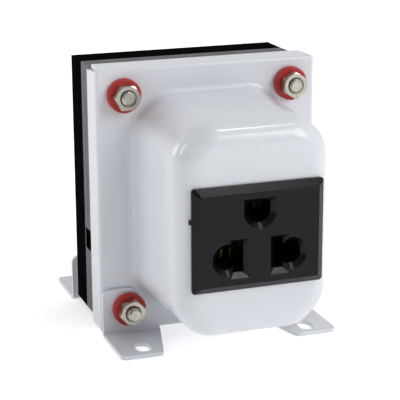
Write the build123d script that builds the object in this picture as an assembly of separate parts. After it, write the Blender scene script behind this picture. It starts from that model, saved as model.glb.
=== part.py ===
"""Travel voltage converter: a small step-up and step-down transformer.

A laminated EI core stands with its long side upright. Four long bolts clamp a drawn sheet
cover on its front and another on its rear, and hold a sheet foot at each lower corner.
The front cover carries a black outlet, the rear one a cord grommet and a fuse holder.

Frame: X to the right, Y to the rear, Z up, in millimetres. The origin is on the floor,
under the middle of the whole object.
"""
import math
import os

from build123d import *

# Core: the usual scrapless lamination, whose sizes all follow the tongue
tongue = 25.4
front_packet = 20.4
rear_packet = 10.8
core_hole_radius = 2.5
core_corner_radius = 0.8
notch_height = 6.4
notch_width = 6.0
notch_depth = 1.6
notch_drop = 15.6
notch_rear_inset = 0.6

# Covers: pressed steel sheet
sheet = 1.0
cover_side_clearance = 0.65
cover_top_clearance = 0.3
skirt_depth = 9.0
skirt_bend_radius = 1.6
flange_corner_radius = 1.2
skirt_end_relief = 1.4
skirt_tip_relief = 0.6
rear_flange_inset = 0.3
dome_side_margin = 8.85
dome_end_margin = 6.9
dome_draft = 0.7
dome_side_radius = 9.5
dome_front_radius = 7.0
dome_root_radius = 2.0

# Clamping hardware
bolt_radius = 2.0
bolt_fit = 0.05
sleeve_wall = 0.4
washer_radius = 4.9
washer_thickness = 2.2
washer_edge = 0.4
washer_gap = 0.6
nut_across_flats = 6.8
nut_thickness = 3.2
nut_countersink = 0.45
nut_crown = 0.5
upper_bolt_tail = 0.6
lower_bolt_tail = 2.1
bolt_end_chamfer = 0.45
head_radius = 4.0
head_height = 2.6
head_crown = 1.2
recess_length = 4.4
recess_width = 1.1
recess_depth = 1.6
nut_turns = {"top_left": 0.0, "top_right": 28.0, "bottom_left": 12.0, "bottom_right": 20.0}

# Feet: bent sheet brackets under the lower washers
foot_sheet = 1.2
foot_inner_bend = 0.8
foot_width = 17.2
foot_edge_inset = 0.3
foot_rise = 14.5
foot_top_radius = 2.2
foot_clearance = 0.3
tab_length = 20.1
tab_tip_width = 12.4
tab_corner_radius = 1.8
slot_width = 4.4
slot_length = 7.2
slot_tip_distance = 5.6
floor_gap = 0.8

# Winding on its bobbin
leg_clearance = 0.3
window_clearance = 0.3
bobbin_wall = 1.2
inner_build = 4.5
layer_paper = 0.4
outer_build = 4.0
tape_wrap = 0.5
winding_end_gap = 0.3
thermal_fuse_radius = 1.8
thermal_fuse_length = 11.0
thermal_fuse_offset = 6.0
thermal_fuse_edge = 0.4

# Outlet
plate_width = 38.0
plate_height = 29.3
plate_thickness = 2.4
plate_bevel = 1.9
plate_bevel_rise = 1.7
plate_corner_radius = 0.9
outlet_drop = 1.0
aperture_margin = 1.9
aperture_clearance = 0.2
outlet_body_depth = 8.0
snap_lug_height = 1.3
snap_lug_reach = 0.75
snap_lug_rise = 0.8
snap_lug_offset = 5.7
lead_in_width = 1.4
lead_in_depth = 1.5
earth_radius = 3.4
earth_flat = 2.2
earth_height = 7.35
pin_radius = 3.15
pin_offset = 9.2
pin_drop = 5.4
blade_offset = 5.8
blade_slot_width = 2.8
blade_slot_height = 8.2
blade_drop = 5.4
base_depth = 11.0
base_back = 1.6
contact_sheet = 0.6
contact_height = 7.0
contact_clearance = 0.2
contact_setback = 1.0
blade_gap = 1.9
pin_gap = 4.6
earth_contact_height = 5.0
earth_gap = 4.4
terminal_width = 4.0
terminal_length = 4.4

# Internal leads
lead_radius = 0.9
lead_bend_share = 0.84
lead_side_step = 6.0
earth_tab_length = 8.0
earth_tab_width = 6.3
earth_tab_sheet = 0.8

# Rear fittings
fuse_height = 13.0
barrel_radius = 6.0
fuse_lead_length = 1.9
barrel_clearance = 0.1
holder_flange_radius = 7.6
holder_flange = 2.0
holder_nut_flats = 15.0
holder_nut_thickness = 3.0
holder_bore_radius = 4.5
holder_end_wall = 1.5
fuse_radius = 2.5
fuse_end_radius = 2.62
fuse_end_length = 5.0
fuse_length = 20.0
fuse_setback = 0.7
cup_radius = 3.4
cup_length = 5.0
cup_floor = 1.2
stem_radius = 2.0
stem_length = 6.0
cap_radius = 6.4
cap_height = 8.6
cap_plug_radius = 4.2
cap_gap = 0.3
cap_fit = 0.05
cap_crown = 0.8
cap_slot_width = 1.4
cap_slot_depth = 1.2
cap_groove_radius = 0.5
cap_groove_count = 18
end_contact_radius = 3.2
end_contact_sheet = 1.0
end_terminal_length = 4.0
end_terminal_width = 4.0
grommet_height = -13.0
grommet_radius = 6.6
grommet_neck_radius = 5.0
grommet_bore_radius = 3.2
grommet_lip = 2.4
grommet_lip_round = 0.9
grommet_clearance = 0.1

# One length by which every cutting solid overruns the piece that it cuts
overrun = 2.0

# Places that follow from the sizes above
yoke = tongue / 2
core_height = 3 * tongue
core_width = 2.5 * tongue
stack = front_packet + rear_packet
window_length = 1.5 * tongue
bolt_x = (core_width - yoke) / 2
bolt_z = (core_height - yoke) / 2
cover_width = core_width + 2 * (cover_side_clearance + sheet)
cover_height = core_height + 2 * (cover_top_clearance + sheet)
mid_z = cover_height / 2 + floor_gap
coil_build = leg_clearance + bobbin_wall + inner_build + layer_paper + outer_build + tape_wrap
barrel_length = fuse_setback + fuse_length + end_contact_sheet + holder_end_wall
dome_depth = coil_build + fuse_lead_length + end_terminal_length + barrel_length - sheet
terminal_gap = dome_depth + sheet - coil_build - terminal_length - base_depth - outlet_body_depth
dome_half_width = core_width / 2 - dome_side_margin
dome_half_height = core_height / 2 - dome_end_margin
washer_to_cut = washer_radius + washer_gap + dome_root_radius
dome_corner_leg = dome_half_width + dome_half_height - bolt_x - bolt_z + math.sqrt(2) * washer_to_cut
lead_bend = lead_bend_share * terminal_gap / 2
front_reach = sheet + dome_depth + plate_thickness
rear_reach = sheet + dome_depth + holder_flange + cap_gap + cap_height
front_y = (front_reach - rear_reach - stack) / 2
rear_y = front_y + stack
packet_y = front_y + front_packet
dome_face_y = -(sheet + dome_depth)
corners = {
    "top_left": (-1, 1),
    "top_right": (1, 1),
    "bottom_left": (-1, -1),
    "bottom_right": (1, -1),
}


def block(xs, ys, zs):
    """A box between two values on each axis."""
    centre = Pos(sum(xs) / 2, sum(ys) / 2, sum(zs) / 2)
    return centre * Box(xs[1] - xs[0], ys[1] - ys[0], zs[1] - zs[0])


def rod(radius, ys, x=0.0, z=0.0):
    """A cylinder along Y."""
    return Pos(x, sum(ys) / 2, z) * Rot(90, 0, 0) * Cylinder(radius, ys[1] - ys[0])


def tube(outer, inner, ys, x=0.0, z=0.0):
    """A round tube along Y."""
    through = (ys[0] - overrun, ys[1] + overrun)
    return rod(outer, ys, x, z) - rod(inner, through, x, z)


def prism(sketch, ys):
    """A sketch drawn in X and Z, extruded from one Y to another."""
    plane = Plane(origin=(0, ys[1], 0), x_dir=(1, 0, 0), z_dir=(0, -1, 0))
    return extrude(plane * sketch, amount=ys[1] - ys[0])


def rounded(width, height, radius):
    """A rectangle with round corners, drawn in X and Z."""
    return RectangleRounded(width, height, radius)


def on_front(shape):
    """Moves a piece made against y = 0 onto the front face of the core."""
    return Pos(0, front_y, mid_z) * shape


def on_rear(shape):
    """Mirrors a piece made against y = 0 onto the rear face of the core."""
    return Pos(0, rear_y, mid_z) * mirror(shape, about=Plane.XZ)


def along_y(shape, edges_at, length):
    """The edges of a shape that lie in the plane y = edges_at, as a chamfer or fillet takes them."""
    near = [e for e in shape.edges() if abs(e.center().Y - edges_at) < length]
    return [e for e in near if abs(e.bounding_box().size.Y) < length]


def edge_along_x(shape, y, z):
    """The straight edge along X that passes nearest to a point in Y and Z."""
    straight = shape.edges().filter_by(Axis.X)
    return straight.sort_by(lambda e: math.hypot(e.center().Y - y, e.center().Z - z))[0]


# Core laminations

def e_outline(back_side):
    """E lamination, its back at the left for -1 or at the right for +1, legs along X."""
    shape = Pos(back_side * (core_width - yoke) / 2, 0) * Rectangle(yoke, core_height)
    outer_leg_z = (core_height - yoke) / 2
    for z, height in ((0, tongue), (outer_leg_z, yoke), (-outer_leg_z, yoke)):
        shape += Pos(0, z) * Rectangle(window_length, height)
    return shape


def i_outline(back_side):
    """I lamination that closes the E on its open side."""
    return Pos(-back_side * (core_width - yoke) / 2, 0) * Rectangle(yoke, core_height)


def bolt_holes(ys, radius):
    """Four cutting rods on the bolt pattern, about the middle of the core."""
    return [rod(radius, ys, sx * bolt_x, sz * bolt_z) for sx, sz in corners.values()]


def packet(outline, ys):
    """A packet of laminations with its bolt holes and softened outer corners."""
    corner = prism(rounded(core_width, core_height, core_corner_radius), ys)
    solid = prism(outline, ys) & corner
    for hole in bolt_holes((ys[0] - overrun, ys[1] + overrun), core_hole_radius):
        solid -= hole
    return solid


def side_notch():
    """Locating notch in the left edge of the front packet, just behind the cover."""
    rear = packet_y - notch_rear_inset
    front = rear - notch_width
    xs = (-core_width / 2 - overrun, -core_width / 2 + notch_depth)
    zs = (-notch_drop - notch_height / 2, -notch_drop + notch_height / 2)
    return block(xs, (front, rear), zs)


front_ys = (front_y, packet_y)
rear_ys = (packet_y, rear_y)
core_e_front = Pos(0, 0, mid_z) * (packet(e_outline(-1), front_ys) - side_notch())
core_i_front = Pos(0, 0, mid_z) * packet(i_outline(-1), front_ys)
core_e_rear = Pos(0, 0, mid_z) * packet(e_outline(1), rear_ys)
core_i_rear = Pos(0, 0, mid_z) * packet(i_outline(1), rear_ys)


# Bobbin and windings, wound about the X axis round the centre leg

def ring(offset_in, offset_out, half_length):
    """A rectangular ring round the centre leg, between two distances from the leg."""
    middle_y = (front_y + rear_y) / 2
    plane = Plane(origin=(-half_length, middle_y, mid_z), x_dir=(0, 1, 0), z_dir=(1, 0, 0))
    outer = rounded(stack + 2 * offset_out, tongue + 2 * offset_out, offset_out)
    inner = Rectangle(stack + 2 * offset_in, tongue + 2 * offset_in)
    if offset_in > leg_clearance:
        inner = rounded(stack + 2 * offset_in, tongue + 2 * offset_in, offset_in)
    return extrude(plane * (outer - inner), amount=2 * half_length)


tube_out = leg_clearance + bobbin_wall
inner_out = tube_out + inner_build
paper_out = inner_out + layer_paper
outer_out = paper_out + outer_build
bobbin_half = window_length / 2 - window_clearance
winding_half = bobbin_half - bobbin_wall - winding_end_gap
bobbin = ring(leg_clearance, tube_out, bobbin_half)
for side in (-1, 1):
    cheek = ring(leg_clearance, coil_build, bobbin_wall / 2)
    bobbin += Pos(side * (bobbin_half - bobbin_wall / 2), 0, 0) * cheek
common_winding = ring(tube_out, inner_out, winding_half)
winding_paper = ring(inner_out, paper_out, winding_half)
series_winding = ring(paper_out, outer_out, winding_half)
winding_tape = ring(outer_out, coil_build, winding_half)


def thermal_fuse_solid():
    """Small can that lies along X on the front of the winding."""
    body = Rot(0, 90, 0) * Cylinder(thermal_fuse_radius, thermal_fuse_length)
    body = fillet(body.edges(), thermal_fuse_edge)
    return Pos(0, -coil_build - thermal_fuse_radius, -thermal_fuse_offset) * body


thermal_fuse = on_front(thermal_fuse_solid())


# Covers

def dome_outline(half_width, half_height, leg, radius):
    """Rectangle with its corners cut at 45 degrees and every corner rounded."""
    w, h = half_width, half_height
    points = [(-w, h - leg), (-w + leg, h), (w - leg, h), (w, h - leg)]
    points += [(w, leg - h), (w - leg, -h), (leg - w, -h), (-w, leg - h)]
    outline = make_face(Polyline(*points, close=True))
    return fillet(outline.vertices(), radius)


def dome_solid(inset):
    """The filled dome, drawn in by the sheet for its inner face."""
    depth = sheet + dome_depth - inset
    leg_inset = inset * (2 - math.sqrt(2))
    base = dome_outline(
        dome_half_width - inset, dome_half_height - inset,
        dome_corner_leg - leg_inset, dome_side_radius - inset)
    tip = dome_outline(
        dome_half_width - dome_draft - inset, dome_half_height - dome_draft - inset,
        dome_corner_leg - leg_inset, dome_side_radius - inset)
    back_plane = Plane(origin=(0, 0, 0), x_dir=(1, 0, 0), z_dir=(0, -1, 0))
    front_plane = Plane(origin=(0, -depth, 0), x_dir=(1, 0, 0), z_dir=(0, -1, 0))
    solid = loft([back_plane * base, front_plane * tip])
    rim = solid.edges().filter_by(lambda e: abs(e.bounding_box().max.Y + depth) < sheet / 2)
    return fillet(rim, dome_front_radius - inset)


def dome_shell(flange):
    """A flange with the dome raised from it, rounded at its root and hollow."""
    shell = flange + dome_solid(0)
    root = [e for e in shell.edges() if abs(e.center().Y + sheet) < sheet / 10]
    inside = [e for e in root if abs(e.center().X) < dome_half_width + sheet]
    inside = [e for e in inside if abs(e.center().Z) < dome_half_height + sheet]
    shell = fillet(inside, dome_root_radius)
    return shell - dome_solid(sheet)


def skirt_flange():
    """Front flange with its four flaps, open at the corners."""
    size = (cover_width, skirt_depth, cover_height)
    outer = Pos(0, skirt_depth / 2 - sheet, 0) * Box(*size)
    outer = fillet(outer.edges().filter_by(Axis.Y), flange_corner_radius)
    face = [e for e in outer.edges() if abs(e.center().Y + sheet) < sheet / 10]
    outer = fillet(face, skirt_bend_radius - sheet / 2)
    inner_size = (cover_width - 2 * sheet, skirt_depth, cover_height - 2 * sheet)
    solid = outer - Pos(0, skirt_depth / 2, 0) * Box(*inner_size)
    rear = skirt_depth - sheet
    for sx, sz in corners.values():
        solid -= flap_end(sx, sz, rear)
    return solid


def flap_end(sx, sz, rear):
    """Wedges that cut the ends of the two flaps at one corner, widening to the rear."""
    x_edge = cover_width / 2 + overrun
    z_edge = cover_height / 2 + overrun
    back = rear + overrun
    relief_x = cover_width / 2 - skirt_end_relief
    relief_z = cover_height / 2 - skirt_end_relief
    tip_x = cover_width / 2 - skirt_tip_relief
    tip_z = cover_height / 2 - skirt_tip_relief
    top = Polyline((sx * tip_x, 0), (sx * relief_x, rear), (sx * relief_x, back),
                   (sx * x_edge, back), (sx * x_edge, 0), close=True)
    plane = Plane(origin=(0, 0, sz * (cover_height / 2 - sheet)), x_dir=(1, 0, 0), z_dir=(0, 0, 1))
    cut = extrude(plane * make_face(top), amount=sz * (sheet + overrun))
    side = Polyline((0, sz * tip_z), (rear, sz * relief_z), (back, sz * relief_z),
                    (back, sz * z_edge), (0, sz * z_edge), close=True)
    plane = Plane(origin=(sx * (cover_width / 2 - sheet), 0, 0), x_dir=(0, 1, 0), z_dir=(1, 0, 0))
    return cut + extrude(plane * make_face(side), amount=sx * (sheet + overrun))


def drilled(shape, ys, radius):
    """A shape with the four bolt holes through it."""
    for hole in bolt_holes(ys, radius):
        shape -= hole
    return shape


through_flange = (-sheet - overrun, overrun)
aperture_width = plate_width - 2 * aperture_margin
aperture_height = plate_height - 2 * aperture_margin
outlet_z = -outlet_drop

front_shell = drilled(dome_shell(skirt_flange()), through_flange, core_hole_radius)
aperture = Pos(0, dome_face_y, outlet_z) * Box(aperture_width, 3 * sheet, aperture_height)
front_cover = on_front(front_shell - aperture)

rear_flange = prism(
    rounded(core_width - 2 * rear_flange_inset, core_height - 2 * rear_flange_inset, flange_corner_radius),
    (-sheet, 0))
rear_shell = drilled(dome_shell(rear_flange), through_flange, core_hole_radius)
panel_ys = (dome_face_y - overrun, dome_face_y + sheet + overrun)
rear_shell -= rod(barrel_radius + barrel_clearance, panel_ys, 0, fuse_height)
rear_shell -= rod(grommet_neck_radius + grommet_clearance, panel_ys, 0, grommet_height)
rear_cover = on_rear(rear_shell)


# Feet

def foot_solid(side):
    """One foot on the left (-1) or right (+1), made against the flange of the core's front."""
    outer_x = cover_width / 2 - foot_edge_inset
    inner_x = outer_x - foot_width
    floor_z = -mid_z
    top_z = floor_z + foot_rise
    plate_y = -sheet
    tip_y = plate_y - tab_length
    xs = (inner_x, outer_x)
    body = block(xs, (plate_y - foot_sheet, plate_y), (floor_z, top_z))
    body += block(xs, (tip_y, plate_y), (floor_z, floor_z + foot_sheet))
    body = fillet(edge_along_x(body, plate_y, floor_z), foot_inner_bend + foot_sheet)
    body = fillet(edge_along_x(body, plate_y - foot_sheet, floor_z + foot_sheet), foot_inner_bend)
    beside_dome = dome_half_width + dome_half_height - dome_corner_leg
    beside_dome += (dome_root_radius + foot_clearance) * math.sqrt(2)
    face = Polyline((inner_x, floor_z), (outer_x, floor_z), (outer_x, top_z),
                    (beside_dome + top_z, top_z), (inner_x, inner_x - beside_dome), close=True)
    face = make_face(face)
    face = fillet(face.vertices().sort_by(lambda v: v.Y + v.X)[-1:], foot_top_radius)
    body &= prism(face, (tip_y - overrun, plate_y + overrun))
    tip_inner_x = outer_x - tab_tip_width
    heel_y = plate_y - foot_sheet - foot_inner_bend
    plan = Polyline((inner_x, plate_y), (inner_x, heel_y), (tip_inner_x, tip_y),
                    (outer_x, tip_y), (outer_x, plate_y), close=True)
    plan = make_face(plan)
    plan = fillet(plan.vertices().sort_by(Axis.Y)[:2], tab_corner_radius)
    body &= Pos(0, 0, floor_z - overrun) * extrude(plan, amount=foot_rise + 2 * overrun)
    slot_y = tip_y + slot_tip_distance
    slot = Pos(bolt_x, slot_y, floor_z) * extrude(
        Rot(0, 0, 90) * SlotOverall(slot_length, slot_width), amount=foot_sheet + overrun, both=True)
    body -= slot
    body -= rod(bolt_radius + bolt_fit, (tip_y, plate_y + overrun), bolt_x, -bolt_z)
    return body if side > 0 else mirror(body, about=Plane.YZ)


foot_front_left = on_front(foot_solid(-1))
foot_front_right = on_front(foot_solid(1))
foot_rear_left = on_rear(foot_solid(-1))
foot_rear_right = on_rear(foot_solid(1))


# Bolts, nuts, washers and sleeves on the four bolt axes

def seat(corner):
    """How far the washer stands off the core's face at a corner."""
    lower = corners[corner][1] < 0
    return sheet + (foot_sheet if lower else 0)


def washer_solid():
    """Insulating washer whose back lies at y = 0."""
    ring_solid = tube(washer_radius, bolt_radius + bolt_fit, (-washer_thickness, 0))
    outer = ring_solid.edges().filter_by(GeomType.CIRCLE)
    outer = [e for e in outer if e.radius > washer_radius - washer_edge]
    return fillet(outer, washer_edge)


def nut_solid(turn):
    """Hexagon nut whose back lies at y = 0, its outer corners crowned."""
    hexagon = RegularPolygon(nut_across_flats / 2, 6, major_radius=False)
    body = prism(Rot(0, 0, turn) * hexagon, (-nut_thickness, 0))
    corner_radius = nut_across_flats / math.sqrt(3)
    cone = chamfer(
        along_y(rod(corner_radius, (-nut_thickness, 0)), -nut_thickness, nut_crown), nut_crown / 2, nut_crown)
    body &= cone
    hole = rod(bolt_radius + bolt_fit, (-nut_thickness - overrun, overrun))
    body -= hole
    mouth = Cone(bolt_radius + bolt_fit, bolt_radius + bolt_fit + nut_countersink, nut_countersink)
    return body - Pos(0, -nut_thickness + nut_countersink / 2, 0) * Rot(90, 0, 0) * mouth


def bolt_solid(corner):
    """Pan head bolt from the rear washer to past the front nut, about its own axis."""
    off = seat(corner)
    lower = corners[corner][1] < 0
    tail = lower_bolt_tail if lower else upper_bolt_tail
    tip = front_y - off - washer_thickness - nut_thickness - tail
    shoulder = rear_y + off + washer_thickness
    shank = rod(bolt_radius, (tip, shoulder))
    shank = chamfer(along_y(shank, tip, bolt_end_chamfer), bolt_end_chamfer)
    head = rod(head_radius, (shoulder, shoulder + head_height))
    head = fillet(along_y(head, shoulder + head_height, head_crown / 2), head_crown)
    recess_ys = (shoulder + head_height - recess_depth, shoulder + head_height + overrun)
    half, thin = recess_length / 2, recess_width / 2
    for xs, zs in (((-half, half), (-thin, thin)), ((-thin, thin), (-half, half))):
        head -= block(xs, recess_ys, zs)
    return shank + head


def on_axis(shape, corner):
    """A shape about the Y axis, moved to a bolt axis."""
    sx, sz = corners[corner]
    return Pos(sx * bolt_x, 0, mid_z + sz * bolt_z) * shape


bolts, nuts, front_washers, rear_washers, sleeves = [], [], [], [], []
for name in corners:
    front_seat = front_y - seat(name)
    rear_seat = rear_y + seat(name)
    bolts.append(on_axis(bolt_solid(name), name))
    nuts.append(on_axis(Pos(0, front_seat - washer_thickness, 0) * nut_solid(nut_turns[name]), name))
    front_washers.append(on_axis(Pos(0, front_seat, 0) * washer_solid(), name))
    rear_washers.append(on_axis(Pos(0, rear_seat, 0) * mirror(washer_solid(), about=Plane.XZ), name))
    sleeve_ys = (front_y - sheet, rear_y + sheet)
    sleeve_outer = bolt_radius + bolt_fit + sleeve_wall
    sleeves.append(on_axis(tube(sleeve_outer, bolt_radius + bolt_fit, sleeve_ys), name))


# Outlet

def pin_hole(side, grow):
    """The round share of a line hole, on the outer side of its blade slot."""
    return Pos(side * pin_offset, -pin_drop) * Circle(pin_radius + grow)


def blade_slot(side, grow):
    """The upright slot of a line hole."""
    opening = Rectangle(blade_slot_width + 2 * grow, blade_slot_height + 2 * grow)
    return Pos(side * blade_offset, -blade_drop) * opening


def earth_hole(grow):
    """Hole for an earth pin, round below and square above, grown all round."""
    radius = earth_radius + grow
    flat = earth_flat + grow
    lower = Circle(radius) - Pos(0, radius) * Rectangle(4 * radius, 2 * radius)
    return Pos(0, earth_height) * (lower + Pos(0, flat / 2) * Rectangle(2 * radius, flat))


def facing(y):
    """The plane across Y through the middle of the outlet, facing the front."""
    return Plane(origin=(0, y, outlet_z), x_dir=(1, 0, 0), z_dir=(0, -1, 0))


def lead_in(outline_of):
    """A hole's mouth, wider at the plate's face and down to the hole's size behind it."""
    back = facing(plate_face_y + lead_in_depth)
    return loft([back * outline_of(0), facing(plate_face_y) * outline_of(lead_in_width)])


plate_face_y = dome_face_y - plate_thickness
body_back_y = dome_face_y + outlet_body_depth
body_width = aperture_width - 2 * aperture_clearance
body_height = aperture_height - 2 * aperture_clearance


def outlet_face_solid():
    """Bevelled plate with a shallow body behind it and the three holes."""
    edge = rounded(plate_width, plate_height, plate_corner_radius)
    top = rounded(plate_width - 2 * plate_bevel, plate_height - 2 * plate_bevel, plate_corner_radius / 2)
    shoulder_y = plate_face_y + plate_bevel_rise
    plate = Pos(0, 0, outlet_z) * prism(edge, (shoulder_y, dome_face_y))
    plate += loft([facing(shoulder_y) * edge, facing(plate_face_y) * top])
    solid = plate + block((-body_width / 2, body_width / 2), (dome_face_y, body_back_y),
                          (outlet_z - body_height / 2, outlet_z + body_height / 2))
    lug_z = outlet_z + snap_lug_offset
    left = -plate_width / 2
    solid += block((left - snap_lug_reach, left + plate_bevel), (dome_face_y - snap_lug_rise, dome_face_y),
                   (lug_z - snap_lug_height / 2, lug_z + snap_lug_height / 2))
    ys = (plate_face_y - overrun, body_back_y + overrun)
    outlines = [earth_hole(0)]
    outlines += [pin_hole(side, 0) + blade_slot(side, 0) for side in (-1, 1)]
    for outline in outlines:
        solid -= Pos(0, 0, outlet_z) * prism(outline, ys)
    for mouth in hole_mouths():
        solid -= mouth
    return solid


def hole_mouths():
    """The chamfered mouths of the three holes, each made of simple tapered solids."""
    pieces = [lead_in(earth_hole)]
    for side in (-1, 1):
        pieces.append(lead_in(lambda g: pin_hole(side, g)))
        pieces.append(lead_in(lambda g: blade_slot(side, g)))
    return pieces


socket_face = on_front(outlet_face_solid())

base_front_y = body_back_y
base_back_y = base_front_y + base_depth
contact_front_y = base_front_y + contact_setback
contact_back_y = base_back_y - base_back


def line_contact(side):
    """Folded strip with a narrow gap for a blade and a wider one for a round pin."""
    t = contact_sheet
    blade_in = blade_offset - blade_gap / 2 - t
    middle = blade_in + t + blade_gap
    outer = middle + t + pin_gap
    half = contact_height / 2
    zs = (outlet_z - pin_drop - half, outlet_z - pin_drop + half)
    ys = (contact_front_y, contact_back_y)
    solid = block((blade_in, outer + t), (contact_back_y - t, contact_back_y), zs)
    for x in (blade_in, middle, outer):
        solid += block((x, x + t), ys, zs)
    solid += terminal(pin_offset, outlet_z - pin_drop)
    return solid if side > 0 else mirror(solid, about=Plane.YZ)


def terminal(x, z):
    """Solder terminal through the back of the outlet base."""
    ys = (contact_back_y - contact_sheet, base_back_y + terminal_length)
    half = terminal_width / 2
    return block((x - half, x + half), ys, (z - contact_sheet / 2, z + contact_sheet / 2))


def earth_contact():
    """Folded strip that grips the earth pin from both sides."""
    t = contact_sheet
    half = earth_gap / 2
    z = outlet_z + earth_height
    zs = (z - earth_contact_height / 2, z + earth_contact_height / 2)
    solid = block((-half - t, half + t), (contact_back_y - t, contact_back_y), zs)
    for x in (-half - t, half):
        solid += block((x, x + t), (contact_front_y, contact_back_y), zs)
    return solid + terminal(0, z)


def pocket(contact, terminals_at):
    """The space in the base for a contact, with the slot for its terminal."""
    box = contact.bounding_box()
    c = contact_clearance
    ys = (base_front_y - overrun, contact_back_y)
    space = block((box.min.X - c, box.max.X + c), ys, (box.min.Z - c, box.max.Z + c))
    x, z = terminals_at
    half = terminal_width / 2 + c
    thin = contact_sheet / 2 + c
    slot_ys = (contact_back_y - overrun, base_back_y + overrun)
    return space + block((x - half, x + half), slot_ys, (z - thin, z + thin))


live_solid = line_contact(1)
neutral_solid = line_contact(-1)
earth_solid = earth_contact()
base_solid = block((-body_width / 2, body_width / 2), (base_front_y, base_back_y),
                   (outlet_z - body_height / 2, outlet_z + body_height / 2))
base_solid -= pocket(live_solid, (pin_offset, outlet_z - pin_drop))
base_solid -= pocket(neutral_solid, (-pin_offset, outlet_z - pin_drop))
base_solid -= pocket(earth_solid, (0, outlet_z + earth_height))
socket_base = on_front(base_solid)
contact_live = on_front(live_solid)
contact_neutral = on_front(neutral_solid)
contact_earth = on_front(earth_solid)


# Internal leads, each a round wire that meets its ends face to face

def lead(*points):
    """A round lead along straight runs joined by arcs."""
    path = FilletPolyline(*points, radius=lead_bend) if len(points) > 2 else Line(*points)
    plane = Plane(origin=path @ 0, z_dir=path % 0)
    return sweep(plane * Circle(lead_radius), path=path)


terminal_y = base_back_y + terminal_length
coil_front_y = -coil_build
line_z = outlet_z - pin_drop


def line_lead(side):
    """From a line terminal, sideways in the gap, onto the front of the winding."""
    x = side * pin_offset
    middle_y = (terminal_y + coil_front_y) / 2
    z = line_z - lead_side_step
    return lead((x, terminal_y, line_z), (x, middle_y, line_z), (x, middle_y, z), (x, coil_front_y, z))


lead_live = on_front(line_lead(1))
lead_neutral = on_front(line_lead(-1))

earth_z = outlet_z + earth_height
earth_lead_y = (terminal_y + coil_front_y) / 2
earth_tab_top = dome_half_height - sheet - dome_draft
earth_tab_under = earth_tab_top - earth_tab_sheet
earth_tab_solid = block((-earth_tab_width / 2, earth_tab_width / 2),
                        (earth_lead_y - earth_tab_length / 2, earth_lead_y + earth_tab_length / 2),
                        (earth_tab_under, earth_tab_top))
earth_tab = on_front(earth_tab_solid)
earth_points = ((0, terminal_y, earth_z), (0, earth_lead_y, earth_z), (0, earth_lead_y, earth_tab_under))
lead_earth = on_front(lead(*earth_points))


# Rear fittings, made against the core's rear face seen from its own outside

panel_y = dome_face_y
holder_mouth_y = panel_y - holder_flange
barrel_end_y = panel_y + barrel_length
fuse_start_y = barrel_end_y - holder_end_wall - end_contact_sheet - fuse_length


def fuse_holder_solid():
    """Round barrel through the panel with a flange outside and a closed inner end."""
    solid = rod(barrel_radius, (panel_y, barrel_end_y), 0, fuse_height)
    solid += rod(holder_flange_radius, (holder_mouth_y, panel_y), 0, fuse_height)
    bore_ys = (holder_mouth_y - overrun, barrel_end_y - holder_end_wall)
    solid -= rod(holder_bore_radius, bore_ys, 0, fuse_height)
    half = end_terminal_width / 2 + contact_clearance
    thin = contact_sheet / 2 + contact_clearance
    slot = block((-half, half), (barrel_end_y - holder_end_wall - overrun, barrel_end_y + overrun),
                 (fuse_height - thin, fuse_height + thin))
    return solid - slot


def holder_nut_solid():
    """Hexagon nut that clamps the barrel against the inside of the panel."""
    hexagon = RegularPolygon(holder_nut_flats / 2, 6, major_radius=False)
    inside = panel_y + sheet
    ys = (inside, inside + holder_nut_thickness)
    body = Pos(0, 0, fuse_height) * prism(hexagon, ys)
    return body - rod(barrel_radius + bolt_fit, (ys[0] - overrun, ys[1] + overrun), 0, fuse_height)


def end_contact_solid():
    """Contact disc at the bottom of the barrel with its terminal."""
    disc_ys = (barrel_end_y - holder_end_wall - end_contact_sheet, barrel_end_y - holder_end_wall)
    disc = rod(end_contact_radius, disc_ys, 0, fuse_height)
    half = end_terminal_width / 2
    thin = contact_sheet / 2
    ys = (disc_ys[1], barrel_end_y + end_terminal_length)
    return disc + block((-half, half), ys, (fuse_height - thin, fuse_height + thin))


def fuse_solid():
    """Glass tube between its two end caps, as three solids."""
    end_y = fuse_start_y + fuse_length
    glass = rod(fuse_radius, (fuse_start_y + fuse_end_length, end_y - fuse_end_length), 0, fuse_height)
    first = rod(fuse_end_radius, (fuse_start_y, fuse_start_y + fuse_end_length), 0, fuse_height)
    last = rod(fuse_end_radius, (end_y - fuse_end_length, end_y), 0, fuse_height)
    return glass, first, last


def carrier_solid():
    """Metal cup that grips the outer end of the fuse, with the stem that the cap turns on."""
    back = fuse_start_y + cup_length
    front = fuse_start_y - cup_floor
    cup = rod(cup_radius, (front, back), 0, fuse_height)
    cup -= rod(fuse_end_radius + cap_fit, (fuse_start_y, back + overrun), 0, fuse_height)
    return cup + rod(stem_radius, (front - stem_length, front), 0, fuse_height)


cap_back_y = holder_mouth_y - cap_gap
cap_face_y = cap_back_y - cap_height


def cap_solid():
    """Grooved cap with a short plug that enters the barrel and a coin slot in its face."""
    body = rod(cap_radius, (cap_face_y, cap_back_y), 0, fuse_height)
    body = fillet(along_y(body, cap_face_y, cap_crown / 2), cap_crown)
    for i in range(cap_groove_count):
        turn = 2 * math.pi * i / cap_groove_count
        x = cap_radius * math.cos(turn)
        z = fuse_height + cap_radius * math.sin(turn)
        body -= rod(cap_groove_radius, (cap_face_y + cap_crown, cap_back_y + overrun), x, z)
    body -= block((-cap_radius, cap_radius), (cap_face_y - overrun, cap_face_y + cap_slot_depth),
                  (fuse_height - cap_slot_width / 2, fuse_height + cap_slot_width / 2))
    plug_back = fuse_start_y - cup_floor - cap_gap
    body += rod(cap_plug_radius, (cap_back_y, plug_back), 0, fuse_height)
    stem_front = fuse_start_y - cup_floor - stem_length
    return body - rod(stem_radius + cap_fit, (stem_front - cap_gap, plug_back + overrun), 0, fuse_height)


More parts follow.
